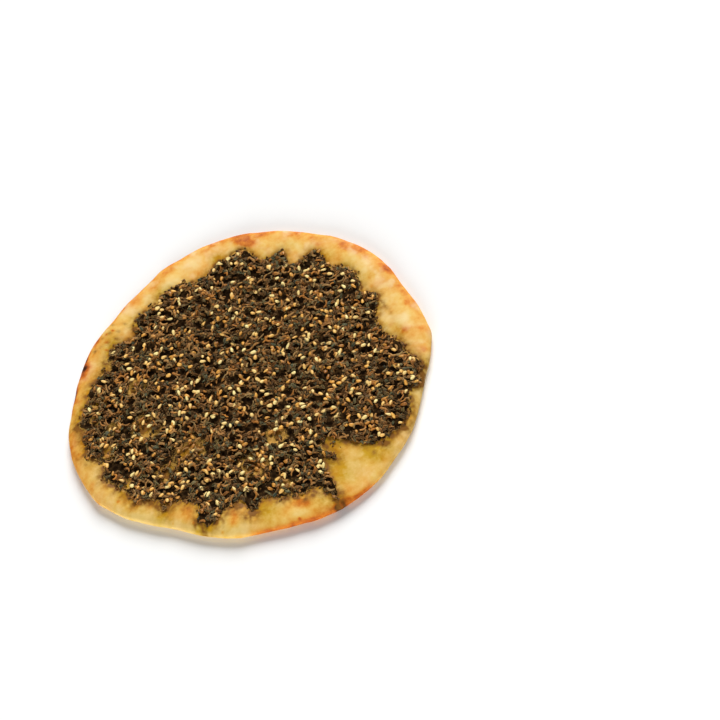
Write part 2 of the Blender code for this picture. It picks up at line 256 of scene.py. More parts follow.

# Relief of the paste: its grains, the small holes between the herbs, worn patches and rolled edge.
# The same level also colours the paste: low places and the holes take its darkest colour as painted shade.
GRAIN_FALL = 1.4
GRAIN_LEVEL = 0.7
GRIT_LEVEL = 0.3
HOLE_LEVEL = 0.4
HOLE_SPACING = 0.0053
HOLE_SEED = 15
LEAST_HOLE = 0.3
HOLE_RADIUS = 0.0022
WARP = 0.0014
WORN_GRAIN_LOSS = 0.85
ROLL = 0.0012
ROLL_START = 0.35

# Kinds of small piece: ranges of length, width and thickness, rows and columns of points, how far
# they hold back from the paste's edge and the play in that, the share that avoids thin patches,
# the least distance from a hole, the share that follows the edge instead, tilt and swing in
# degrees, and how much rarer the brighter tints are.
Kind = namedtuple("Kind", "sizes grid hold play thin_share hole_reach edge_share tilt swing spareness")
LEAF = Kind(
    ((0.0023, 0.0044), (0.0018, 0.003), (0.0005, 0.0008)), (4, 6), hold=0.001, play=0.0006, thin_share=0.62,
    hole_reach=0.0032, edge_share=0, tilt=28, swing=25, spareness=2.0)
CURL = Kind(
    ((0.0034, 0.0064), (0.0009, 0.0014), (0.0006, 0.001)), (7, 4), hold=0.0012, play=0.0008, thin_share=0.25,
    hole_reach=0.0019, edge_share=0, tilt=16, swing=25, spareness=3.0)
CRUMB = Kind(
    ((0.0012, 0.0024), (0.0009, 0.0016), (0.0006, 0.0011)), (2, 4), hold=0, play=0.0018, thin_share=0.4,
    hole_reach=0.0014, edge_share=0.12, tilt=40, swing=60, spareness=1.2)
SEED = Kind(
    ((0.0031, 0.0042), (0.0016, 0.0022), (0.001, 0.0014)), (4, 7), hold=0.0008, play=0.0006, thin_share=0.3,
    hole_reach=0.0012, edge_share=0, tilt=20, swing=70, spareness=1.0)

# Scattering: how leaves and curls bend, where pieces may lie, and how the herb layer thins out
# past the paste's edge.
LEAF_CURL = (1.3, 2.8)
LEAF_ARCH = (-0.7, 1.2)
CURL_ARCH = (0.4, 1.8)
CUPPED_SHARE = 0.75
SCATTER_RADIUS = 0.106
TRIES = 5
EDGE_LINE = (-0.0006, 0.0009)
LEAST_MARGIN = 0.0012
LAYER_EDGE = 0.3
LAYER_SLOPE = 0.004
TINT_PATCHINESS = 0.16
# Painted shade: how much darker a piece is tinted the deeper it lies in the herb layer.
SHADE_BY_DEPTH = 0.45

# Grids: columns round each ring, and rows over the top, down the foot and in below.
BREAD_COLUMNS = 960
FLOOR_ROWS = 11
SLOPE_ROWS = 28
SHOULDER_ROWS = 25
FOOT_ROWS = 12
UNDER_ROWS = 23
UNDER_PACKING = 0.8
PASTE_COLUMNS = 640
PASTE_ROWS = 126
PASTE_UNDER_ROWS = 11
EDGE_SAMPLES = 1080
BLOCKS = 64
TINY = 1e-12

# The picture's width and height, in pixels.
PICTURE = 720


def srgb(red, green, blue):
    """A linear colour from shares v of 255: v / 12.92 near black, and else ((v + 0.055) / 1.055)^2.4."""
    parts = np.array((red, green, blue)) / 255
    linear = np.where(parts <= 0.04045, parts / 12.92, ((parts + 0.055) / 1.055) ** 2.4)
    return (*linear.tolist(), 1.0)


# The casts of colour that the leaves have, from bluish grey to golden.
CASTS = tuple(zip((0.0, 0.3, 0.7, 1.0), (
    srgb(198, 222, 236), srgb(238, 238, 232), srgb(255, 241, 222), srgb(255, 221, 168))))


def colour(name, description, *parts):
    """A colour property whose default is given in eight-bit values."""
    return FloatVectorProperty(
        name=name, description=description, subtype="COLOR", size=4, min=0, max=1, default=srgb(*parts))


def number(name, description, default, **unit):
    """A number property, plain unless a unit or a subtype is given."""
    return FloatProperty(name=name, description=description, default=default, **unit)


def length(name, description, default):
    """A length property in metres."""
    return number(name, description, default, unit="LENGTH", precision=5)


def angle(name, description, degrees):
    """An angle property whose default is given in degrees."""
    return number(name, description, radians(degrees), subtype="ANGLE")


def pieces(name, description, default):
    """A property that says how many pieces of a kind there are."""
    return IntProperty(name=name, description=description, default=default)


# Form: the same formulas as the solids', on whole arrays.

def flat(bearing, radius):
    """Coordinates x and y at arrays of bearing and radius."""
    turn = np.radians(bearing)
    return radius * np.cos(turn), radius * np.sin(turn)


def polar(bearing, radius, height):
    """Points at arrays of bearing, radius and height."""
    return np.stack(np.broadcast_arrays(*flat(bearing, radius), height), axis=-1)


def bump(bearing, centre, spread):
    """A flat-topped swell round one bearing: e to the minus cube of the distance in half-widths."""
    away = (bearing - centre + 180) % 360 - 180
    return np.exp(-np.abs(away / spread) ** 3)


def swells(bearing, places):
    """The sum of the swells in a list of bearing, half-width and height."""
    return sum(height * bump(bearing, centre, spread) for centre, spread, height in places)


def smooth(share):
    """An even ramp from 0 to 1 with level ends: 3t^2 - 2t^3."""
    share = np.clip(share, 0, 1)
    return share * share * (3 - 2 * share)


def bread_edge(bearing):
    """Radius of the bread's outline: the mean, its waves and its bulges."""
    waves = sum(swing * np.cos(count * np.radians(bearing - crest)) for count, swing, crest in EDGE_WAVES)
    return BREAD_RADIUS + waves + swells(bearing, EDGE_BULGES)


def spread_edge(bearing):
    """Radius of the paste's outline: the bread's, less an inset with bays and capes."""
    inset = SPREAD_INSET + swells(bearing, SPREAD_EDGE)
    return bread_edge(bearing) - np.maximum(inset, SPREAD_LEAST_INSET)


def ragged_edge(bearing):
    """The paste's outline with small lobes: the solid's, moved by noise that is read round a circle."""
    lobes = EDGE_LOBES * layered_noise(*flat(bearing, BREAD_RADIUS), *LOBES) + swells(bearing, EDGE_DETAILS)
    return np.minimum(spread_edge(bearing) + lobes, bread_edge(bearing) - EDGE_MARGIN)


def crust_height(bearing, inset):
    """Height of the bread's top: a superellipse shoulder up to the rim's crest, then down to the floor."""
    crest = RIM_HEIGHT + swells(bearing, RIM_SWELLS)
    outward = np.clip(1 - inset / RIM_INSET, 0, 1)
    shoulder = NOSE_HEIGHT + (crest - NOSE_HEIGHT) * (1 - outward ** SHOULDER_POWER) ** (1 / SHOULDER_POWER)
    slope = crest - (crest - FLOOR_THICKNESS) * smooth((inset - RIM_INSET) / RIM_SLOPE)
    return np.where(inset < RIM_INSET, shoulder, slope)


def thinness(x, y, widen=1.0):
    """How far the paste is worn: 1 in the middle of a thin patch, e to the minus 4th power of the way out."""
    total = 0.0
    for patch_x, patch_y, patch_radius in THIN_PATCHES:
        total = total + np.exp(-(np.hypot(x - patch_x, y - patch_y) / patch_radius / widen) ** 4)
    return np.minimum(total, 1)


def paste_height(bearing, radius):
    """Height of the paste's top before its grain: the crust, the gap, and a thickness less at its edge."""
    inset = bread_edge(bearing) - radius
    body = smooth((spread_edge(bearing) - radius) / SPREAD_EDGE_SLOPE)
    full = SPREAD_THICKNESS - RIM_THINNING * (1 - smooth(inset / SHOULDER_REACH))
    thickness = SPREAD_EDGE_THICKNESS + (full - SPREAD_EDGE_THICKNESS) * body
    worn = PATCH_DEPTH * thinness(*flat(bearing, radius))
    return crust_height(bearing, inset) + SPREAD_GAP + thickness - worn


def lattice_noise(x, y, width, seed):
    """Smooth noise from -1 to 1: random values at the corners of squares of that width, eased between them.

    The squares are turned by the seed, so that layers of noise don't line up."""
    values = np.random.default_rng(seed).uniform(-1, 1, (LATTICE, LATTICE))
    turn = seed * LATTICE_TURN
    across = (x * cos(turn) - y * sin(turn)) / width
    along = (x * sin(turn) + y * cos(turn)) / width
    column, row = np.floor(across).astype(int), np.floor(along).astype(int)
    u, v = smooth(across - column), smooth(along - row)
    west, east, south, north = column % LATTICE, (column + 1) % LATTICE, row % LATTICE, (row + 1) % LATTICE
    low = values[west, south] * (1 - u) + values[east, south] * u
    high = values[west, north] * (1 - u) + values[east, north] * u
    return low * (1 - v) + high * v


def layered_noise(x, y, width, seed, layers):
    """Lattice noise in layers, each half as wide and half as strong as the last, from about -1 to 1."""
    total = sum(lattice_noise(x, y, width / 2 ** layer, seed + layer) / 2 ** layer for layer in range(layers))
    return total / (2 - 2 ** (1 - layers)) * LAYERED_GAIN


def cell_distance(x, y, width, seed, least=1.0):
    """Distance to the nearest of the jittered cell points, in cell widths, over that point's own size.

    The sizes run from least to 1."""
    jitter = np.random.default_rng(seed).uniform(0, 1, (3, LATTICE, LATTICE))
    column, row = np.floor(x / width).astype(int), np.floor(y / width).astype(int)
    nearest = np.full(np.shape(x), np.inf)
    for step_x in (-1, 0, 1):
        for step_y in (-1, 0, 1):
            cell_x, cell_y = column + step_x, row + step_y
            shift_x, shift_y, size = jitter[:, cell_x % LATTICE, cell_y % LATTICE]
            away = np.hypot(x / width - cell_x - shift_x, y / width - cell_y - shift_y)
            nearest = np.minimum(nearest, away / (least + (1 - least) * size))
    return nearest


def hole_distance(x, y):
    """Distance to the nearest of the small holes in the herb layer, in metres for the largest of them."""
    return HOLE_SPACING * cell_distance(x, y, HOLE_SPACING, HOLE_SEED, LEAST_HOLE)


def ring_direction(x, y):
    """Direction at right angles to the way out of the nearest hole, so that pieces lie round it."""
    step = 0.0001
    east = hole_distance(x + step, y) - hole_distance(x - step, y)
    north = hole_distance(x, y + step) - hole_distance(x, y - step)
    return np.arctan2(north, east) + tau / 4


def form_middle():
    """Where the form's middle lies in the frame: the middle of the bread's box, less the outline's own."""
    bearing = np.arange(0, 360, 3.0)
    outline = polar(bearing, bread_edge(bearing), 0.0)
    low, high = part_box("bread")
    middle = (outline.min(axis=0) + outline.max(axis=0)) / 2
    return np.array([(low.x + high.x) / 2 - middle[0], (low.y + high.y) / 2 - middle[1], 0.0])


MIDDLE = form_middle()


# Meshes: closed surfaces of rings with a pole at each end.

def closed_faces(rows, columns):
    """Faces of rows of rings with a pole at each end: quads between rings, triangles round each pole.

    Points are numbered ring by ring, then the first pole and the last pole."""
    index = np.arange(rows * columns).reshape(rows, columns)
    after = np.roll(index, -1, axis=1)
    quads = np.stack([index[:-1], index[1:], after[1:], after[:-1]], axis=-1).reshape(-1, 4)
    first, last = np.full(columns, rows * columns), np.full(columns, rows * columns + 1)
    caps = np.concatenate([
        np.stack([first, index[0], after[0]], axis=-1), np.stack([last, after[-1], index[-1]], axis=-1)])
    return quads, caps


def build_piece(name, points, quads, triangles, material, values):
    """A smooth mesh object of these points and faces, with its named values at the points."""
    mesh = bpy.data.meshes.new(name)
    mesh.vertices.add(len(points))
    mesh.vertices.foreach_set("co", (points + MIDDLE).astype(np.float32).ravel())
    corners = np.concatenate([quads.ravel(), triangles.ravel()]).astype(np.int32)
    sizes = np.repeat([4, 3], [len(quads), len(triangles)])
    mesh.loops.add(len(corners))
    mesh.loops.foreach_set("vertex_index", corners)
    mesh.polygons.add(len(sizes))
    mesh.polygons.foreach_set("loop_start", (np.cumsum(sizes) - sizes).astype(np.int32))
    mesh.update(calc_edges=True)
    mesh.validate()
    mesh.shade_smooth()
    for label, value in values.items():
        layer = mesh.attributes.new(label, "FLOAT", "POINT")
        layer.data.foreach_set("value", np.broadcast_to(value, len(points)).astype(np.float32))
    mesh.materials.append(material)
    piece = bpy.data.objects.new(name, mesh)
    bpy.context.scene.collection.objects.link(piece)
    return piece


def seat(piece, node=None):
    """Lets a finished piece ride on the bread's body and stand for its solid, which is hidden when one is
    named.
    """
    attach(piece, BODY)
    if node:
        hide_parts(node)


def normals_of(rings):
    """Unit normals of a grid of rings: the cross product of its two finite differences."""
    down = np.gradient(rings, axis=0)
    around = np.roll(rings, -1, axis=1) - np.roll(rings, 1, axis=1)
    normal = np.cross(down, around)
    return normal / np.maximum(np.linalg.norm(normal, axis=-1, keepdims=True), TINY)


def edge_distance(x, y):
    """Distance of each point from the paste's outline, the least over samples round it, block by block."""
    bearing = np.linspace(0, 360, EDGE_SAMPLES, endpoint=False)
    outline = polar(bearing, ragged_edge(bearing), 0.0)[:, :2]
    points = np.stack([x.ravel(), y.ravel()], axis=-1)
    nearest = [
        np.hypot(block[:, None, 0] - outline[:, 0], block[:, None, 1] - outline[:, 1]).min(axis=1)
        for block in np.array_split(points, BLOCKS)
    ]
    return np.concatenate(nearest).reshape(x.shape)


# Materials.

def new_material(name):
    """A new material, its node tree and its Principled shader."""
    material = bpy.data.materials.new(name)
    material.use_nodes = True
    tree = material.node_tree
    return material, tree, tree.nodes["Principled BSDF"]


def feed(tree, socket, value):
    """Links an input to another node's output, or gives it a value."""
    if isinstance(value, bpy.types.NodeSocket):
        tree.links.new(value, socket)
    else:
        socket.default_value = value


def attribute(tree, name):
    """The output of a node that reads a named value from the mesh."""
    node = tree.nodes.new("ShaderNodeAttribute")
    node.attribute_name = name
    return node.outputs["Fac"]


def math_node(tree, operation, first, second, clamp=False):
    """The result of a Math node on two inputs, each an output or a number."""
    node = tree.nodes.new("ShaderNodeMath")
    node.operation = operation
    node.use_clamp = clamp
    feed(tree, node.inputs[0], first)
    feed(tree, node.inputs[1], second)
    return node.outputs["Value"]


def add_scaled(tree, first, second, factor, clamp=False):
    """The sum first + factor x second, by two Math nodes."""
    return math_node(tree, "ADD", first, math_node(tree, "MULTIPLY", second, factor), clamp)


def mix_colours(tree, share, first, second, blend="MIX"):
    """The result of a colour Mix node, each input an output or a value."""
    node = tree.nodes.new("ShaderNodeMix")
    node.data_type = "RGBA"
    node.blend_type = blend
    for label, value in (("Factor_Float", share), ("A_Color", first), ("B_Color", second)):
        feed(tree, next(s for s in node.inputs if s.identifier == label), value)
    return next(s for s in node.outputs if s.identifier == "Result_Color")


def colour_ramp(tree, value, stops):
    """A colour ramp through stops of position and colour."""
    node = tree.nodes.new("ShaderNodeValToRGB")
    ramp = node.color_ramp
    while len(ramp.elements) < len(stops):
        ramp.elements.new(0.5)
    for element, (position, tone) in zip(ramp.elements, stops):
        element.position = position
        element.color = tone
    tree.links.new(value, node.inputs["Fac"])
    return node.outputs["Color"]


def map_range(tree, value, low, high):
    """A smooth step of a value from 0 at low to 1 at high."""
    node = tree.nodes.new("ShaderNodeMapRange")
    node.interpolation_type = "SMOOTHSTEP"
    node.inputs["From Min"].default_value = low
    node.inputs["From Max"].default_value = high
    tree.links.new(value, node.inputs["Value"])
    return node.outputs["Result"]


def grain_group():
    """A node group that every food material uses: soft blotches, fine grain, and a height made of the two."""
    name = "food_grain"
    if name in bpy.data.node_groups:
        return bpy.data.node_groups[name]
    group = bpy.data.node_groups.new(name, "ShaderNodeTree")
    for label in ("Blotch width", "Grain width", "Grain share"):
        group.interface.new_socket(label, in_out="INPUT", socket_type="NodeSocketFloat")
    for label in ("Blotches", "Grain", "Height"):
        group.interface.new_socket(label, in_out="OUTPUT", socket_type="NodeSocketFloat")
    source, target = group.nodes.new("NodeGroupInput"), group.nodes.new("NodeGroupOutput")
    place = group.nodes.new("ShaderNodeTexCoord").outputs["Object"]
    outputs = []
    for label, detail in (("Blotch width", 3.0), ("Grain width", 2.0)):
        noise = group.nodes.new("ShaderNodeTexNoise")
        noise.inputs["Detail"].default_value = detail
        noise.inputs["Roughness"].default_value = 0.6
        group.links.new(place, noise.inputs["Vector"])
        group.links.new(math_node(group, "DIVIDE", 1.0, source.outputs[label]), noise.inputs["Scale"])
        outputs.append(noise.outputs["Fac"])
    fine = math_node(group, "MULTIPLY", outputs[1], source.outputs["Grain share"])
    group.links.new(outputs[0], target.inputs["Blotches"])
    group.links.new(outputs[1], target.inputs["Grain"])
    group.links.new(math_node(group, "ADD", outputs[0], fine), target.inputs["Height"])
    return group


def add_grain(tree, blotch, grain, share):
    """The grain group in a material, with its own widths: its blotches, grain and height."""
    node = tree.nodes.new("ShaderNodeGroup")
    node.node_tree = grain_group()
    for label, value in (("Blotch width", blotch), ("Grain width", grain), ("Grain share", share)):
        node.inputs[label].default_value = value
    return [node.outputs[label] for label in ("Blotches", "Grain", "Height")]


def finish(tree, shader, base, roughness, specular, height, strength, depth):
    """Feeds a surface's colour, roughness, gloss and bump to its shader."""
    feed(tree, shader.inputs["Base Color"], base)
    feed(tree, shader.inputs["Roughness"], roughness)
    shader.inputs["Specular IOR Level"].default_value = specular
    node = tree.nodes.new("ShaderNodeBump")
    node.inputs["Strength"].default_value = strength
    node.inputs["Distance"].default_value = depth
    tree.links.new(height, node.inputs["Height"])
    tree.links.new(node.outputs["Normal"], shader.inputs["Normal"])


def dough_material(tones):
    """Baked dough: a ramp from pale to charred by the bake value, yellowed by oil, browned beside the herbs.

    Blotches and specks move the bake, and the blotches make the oil and the stain uneven."""
    material, tree, shader = new_material("baked_dough_surface")
    blotches, grain, height = add_grain(tree, blotch=0.0042, grain=0.0007, share=0.35)
    blotch = math_node(tree, "SUBTRACT", blotches, 0.5)
    speck = math_node(tree, "SUBTRACT", grain, 0.5)
    bake = add_scaled(tree, attribute(tree, "bake"), blotch, 0.6)
    bake = add_scaled(tree, bake, speck, 0.1, clamp=True)
    base = colour_ramp(tree, bake, (
        (0.0, tones.pale), (0.22, tones.cream), (0.42, tones.gold), (0.58, tones.orange), (0.74, tones.rust),
        (0.9, tones.brown), (1.0, tones.char)))
    base = mix_colours(tree, attribute(tree, "rosy"), base, tones.rosy, "MULTIPLY")
    base = mix_colours(tree, attribute(tree, "dust"), base, tones.dust)
    uneven = add_scaled(tree, 1.0, blotch, 1.5)
    oil = math_node(tree, "MULTIPLY", attribute(tree, "oil"), uneven, clamp=True)
    base = mix_colours(tree, oil, base, tones.oil, "MULTIPLY")
    uneven = add_scaled(tree, 1.0, blotch, 3.0)
    stain = math_node(tree, "MULTIPLY", attribute(tree, "stain"), uneven, clamp=True)
    base = mix_colours(tree, stain, base, tones.stain)
    roughness = add_scaled(tree, 0.62, oil, -0.2)
    finish(tree, shader, base, roughness, specular=0.06, height=height, strength=0.25, depth=0.0003)
    return material


def paste_material(tones):
    """Oiled herb paste: dark, and darkest in its hollows and holes as painted shade, browner on its grains,
    olive and golden where it is thin.
    """
    material, tree, shader = new_material("herb_paste_surface")
    blotches, grain, height = add_grain(tree, blotch=0.0022, grain=0.0007, share=0.7)
    speck = math_node(tree, "SUBTRACT", grain, 0.5)
    level = math_node(tree, "ADD", attribute(tree, "level"), speck, clamp=True)
    # Painted shade: the lower the level, the darker; the hollows and holes take the darkest colour.
    base = colour_ramp(tree, level, ((0.0, tones.hollow_shade), (0.5, tones.dark), (1.0, tones.brown)))
    worn = colour_ramp(tree, blotches, ((0.35, tones.olive), (0.62, tones.golden)))
    thin = math_node(tree, "ADD", attribute(tree, "thin"), speck)
    base = mix_colours(tree, map_range(tree, thin, 0.25, 0.75), base, worn)
    finish(tree, shader, base, roughness=0.5, specular=0.0, height=height, strength=0.8, depth=0.0005)
    return material


def leaf_material(name, deep, middle, rim, roughness):
    """Dried leaf: a tint from deep to middle for each leaf, a cast of colour, and a paler rim by its cube,
    partly painted highlight.
    """
    material, tree, shader = new_material(name)
    blotches, grain, _ = add_grain(tree, blotch=0.0012, grain=0.0004, share=0.5)
    body = colour_ramp(tree, attribute(tree, "tint"), ((0.0, deep), (1.0, middle)))
    # The rim colour, mixed in by the cubed rim value, is partly the edges' own colour and partly painted
    # highlight.
    edge = math_node(tree, "POWER", attribute(tree, "rim"), 3.0)
    edge = math_node(tree, "MULTIPLY", edge, math_node(tree, "ADD", blotches, 0.3))
    base = mix_colours(tree, edge, body, rim)
    base = mix_colours(tree, 1.0, base, colour_ramp(tree, attribute(tree, "hue"), CASTS), "MULTIPLY")
    finish(tree, shader, base, roughness, specular=0.06, height=grain, strength=0.4, depth=0.0002)
    return material


def seed_material(name, dull, bright, tip_and_side_shade):
    """Sesame: a tint from dull to bright for each seed, darker at its pointed end and, as painted shade,
    along its sides.
    """
    material, tree, shader = new_material(name)
    blotches, grain, _ = add_grain(tree, blotch=0.0015, grain=0.0003, share=0.5)
    body = colour_ramp(tree, attribute(tree, "tint"), ((0.0, dull), (1.0, bright)))
    # The tip colour goes on the pointed end, the seed's own darker end, and on the sides as painted shade.
    point = math_node(tree, "MULTIPLY", attribute(tree, "rim"), blotches)
    base = mix_colours(tree, point, body, tip_and_side_shade)
    finish(tree, shader, base, roughness=0.42, specular=0.25, height=grain, strength=0.25, depth=0.0001)
    return material


# Bread.

def spot_sum(bearing, inset, spots):
    """The sum of oval spots on the crust: each e to the minus square of the distance in half-lengths."""
    total = np.zeros(np.broadcast(bearing, inset).shape)
    for at, spot_inset, along, across, strength in spots:
        sideways = np.radians((bearing - at + 180) % 360 - 180) * BREAD_RADIUS / along
        total = total + strength * np.exp(-sideways ** 2 - ((inset - spot_inset) / across) ** 2)
    return total


def fade(distance, reach):
    """e to the minus 1.5th power of a distance in reaches."""
    return np.exp(-(distance / reach) ** 1.5)


def patches(x, y, noise, middle, swing):
    """Soft-edged patches from 0 to 1: an even ramp of the middle value, give or take the noise."""
    return smooth(middle + swing * layered_noise(x, y, *noise))


def bread_rings():
    """The bread's grid and, for each row, how far it lies past the nose.

    Rows run out over the floor by share of the radius, over the slope by inset, and round the
    shoulder by turn: inset 1 - sin(t)^(2/p), rise cos(t)^(2/p). Below the nose they follow a
    quarter ellipse down to the foot, then run in across the underside."""
    bearing = np.arange(BREAD_COLUMNS) * 360 / BREAD_COLUMNS
    edge = bread_edge(bearing)
    slope_start = RIM_INSET + RIM_SLOPE
    floor_radius = np.linspace(0, 1, FLOOR_ROWS + 2)[1:-1, None] * (edge - slope_start)
    slope_inset = np.linspace(slope_start, RIM_INSET, SLOPE_ROWS + 1)[:-1, None]
    turn = np.linspace(0, tau / 4, SHOULDER_ROWS)[:, None]
    shoulder_inset = RIM_INSET * (1 - np.sin(turn) ** (2 / SHOULDER_POWER))
    top_radius = np.concatenate([floor_radius, edge - slope_inset, edge - shoulder_inset])
    top = polar(bearing, top_radius, crust_height(bearing, edge - top_radius))
    foot_turn = np.linspace(0, tau / 4, FOOT_ROWS + 1)[1:, None]
    foot_radius = edge - FOOT_INSET * (1 - np.cos(foot_turn))
    foot = polar(bearing, foot_radius, NOSE_HEIGHT * (1 - np.sin(foot_turn)))
    under_radius = np.linspace(1, 0, UNDER_ROWS + 2)[1:-1, None] ** UNDER_PACKING * (edge - FOOT_INSET)
    under = polar(bearing, under_radius, 0.0)
    below = np.concatenate([np.zeros(len(top)), foot_turn[:, 0] / (tau / 4), np.full(len(under), 2.0)])
    return bearing, np.concatenate([top, foot, under]), below[:, None]


def bread_relief(settings, bearing, inset, x, y, away, below):
    """How far the bread's skin stands out: puffs and wrinkles of noise, and round blisters.

    It is even under the paste, fades out down the foot, and has hollows of noise below."""
    bare = np.where(below > 0, 1.0, smooth(away / BARE_REACH))
    puffs = settings.puff_height * layered_noise(x, y, *PUFFS)
    wrinkles = settings.wrinkle_height * layered_noise(x, y, *WRINKLES)
    relief = (puffs + wrinkles) * bare + spot_sum(bearing, inset, BLISTERS) * bare * (below <= 0)
    hollows = settings.under_relief * np.maximum(0.5 + 0.5 * layered_noise(x, y, *UNDER_HOLLOWS), 0)
    return np.where(below > 1, -hollows, relief * np.where(below > 0.5, 2 - 2 * below, 1))


def bread_bake(settings, bearing, inset, x, y, below):
    """How far the bread is baked, with some painted light: on top a mean with the outer bands, mottle and
    spots, up to the most.

    Burnt spots pass the most. The side is changed by the sine of the way down it. The underside
    has a mean with blotches, and freckles where those are dark."""
    band = sum(
        strength * bump(bearing, at, spread) * fade(np.maximum(inset, 0), reach)
        for at, spread, strength, reach in BAKE_BANDS)
    mottle = settings.mottle * layered_noise(x, y, *MOTTLE)
    mottle = mottle + settings.fine_mottle * layered_noise(x, y, *FINE_MOTTLE)
    top = settings.top_bake + band + mottle
    # Part of the paleness along the lower side's edge is painted light.
    top = top + spot_sum(bearing, inset, BAKE_SPOTS) - spot_sum(bearing, inset, PALE_SPOTS)
    top = np.minimum(top, settings.most_bake) + spot_sum(bearing, inset, BURNT_SPOTS)
    side = top + settings.side_bake * np.sin(np.clip(below, 0, 1) * tau / 4)
    blotches = layered_noise(x, y, *UNDER_BLOTCHES)
    freckles = np.maximum(layered_noise(x, y, *FRECKLES), 0) * smooth(blotches + 0.5)
    under = settings.under_bake + UNDER_BLOTCH_BAKE * blotches + UNDER_FRECKLE_BAKE * freckles
    return np.where(below > 1, under, np.where(below > 0, side, top))


def bread_stains(settings, bearing, inset, x, y, away, below, bake):
    """The values of oil, stain, rosy and dust, which change the baked colour.

    Oil and stain fade with the distance from the paste. The oil has a strong line along it, soaks
    out in patches and veils one side. The stain is feathered across the edge and speckled. Rosy
    patches and flour are noise, and end where the bake is strong."""
    stained = bump(bearing, *STAINED_SIDE)
    near = fade(away, settings.oil_reach)
    oil = OIL_LINE * near ** 5 + near * (OIL_SOAKED + OIL_PATCHINESS * lattice_noise(x, y, *OIL_PATCHES))
    veil = settings.oil_veil * stained
    oil = np.where(below > 0, veil / 2, oil + veil + spot_sum(bearing, inset, OIL_SPOTS))
    feather = lattice_noise(*flat(bearing, BREAD_RADIUS - SQUEEZE * inset), *FEATHERS)
    speckle = layered_noise(x, y, *SPECKLES)
    reach = settings.stain_reach * (1 + STAIN_WIDER * stained)
    stain = (STAIN_STRENGTH + STAIN_EXTRA * stained) * fade(away, reach)
    stain = np.maximum(stain + spot_sum(bearing, inset, STAIN_SPOTS), 0)
    stain = np.where(below > 0, 0.0, stain * np.maximum(1 + FEATHERING * feather + SPECKLING * speckle, 0))
    rosy = patches(x, y, ROSY_PATCHES, middle=0.3, swing=0.9) * settings.rosiness
    rosy = rosy * (1 - 0.8 * smooth((bake - ROSY_MOST_BAKE) / BAKE_STEP))
    dust = patches(x, y, FLOUR, middle=0.1, swing=1.1) * (1 - 0.7 * near) * (1 - 0.8 * stained)
    dust = settings.dusting * dust * (1 - smooth((bake - FLOUR_MOST_BAKE) / BAKE_STEP))
    return {"oil": oil, "stain": stain, "rosy": rosy, "dust": dust}


def make_bread(settings):
    """The dough: its grid moved along its normals by the relief and kept above the ground, and its values."""
    bearing, rings, below = bread_rings()
    x, y = rings[..., 0], rings[..., 1]
    radius = np.hypot(x, y)
    inset = bread_edge(bearing) - radius
    away = np.where(radius > ragged_edge(bearing), edge_distance(x, y), 0)
    relief = bread_relief(settings, bearing, inset, x, y, away, below)
    bake = bread_bake(settings, bearing, inset, x, y, below)
    values = {"bake": bake, **bread_stains(settings, bearing, inset, x, y, away, below, bake)}
    rings = rings + normals_of(rings) * relief[..., None]
    rings[..., 2] = np.maximum(rings[..., 2], 0)
    poles = np.array([[0, 0, FLOOR_THICKNESS], [0, 0, settings.under_relief / 2]])
    points = np.concatenate([rings.reshape(-1, 3), poles])
    at_poles = {"bake": (0, settings.under_bake)}
    values = {label: np.append(value, at_poles.get(label, (0, 0))) for label, value in values.items()}
    quads, caps = closed_faces(*inset.shape)
    piece = build_piece("dough", points, quads, caps, dough_material(settings), values)
    seat(piece, "bread")


# Herb paste.

def worn_share(x, y, inward, settings):
    """How thin the paste is, from 0 to 1: in the warped patches and, unevenly, along its edge."""
    warp_x, warp_y = (WARP * lattice_noise(x, y, *warp) for warp in PATCH_WARPS)
    at_edge = 1 - smooth(inward / settings.edge_fade)
    along_edge = at_edge * (0.75 + 0.5 * lattice_noise(x, y, *WORN_EDGE))
    return np.maximum(thinness(x + warp_x, y + warp_y, widen=1.25), along_edge)


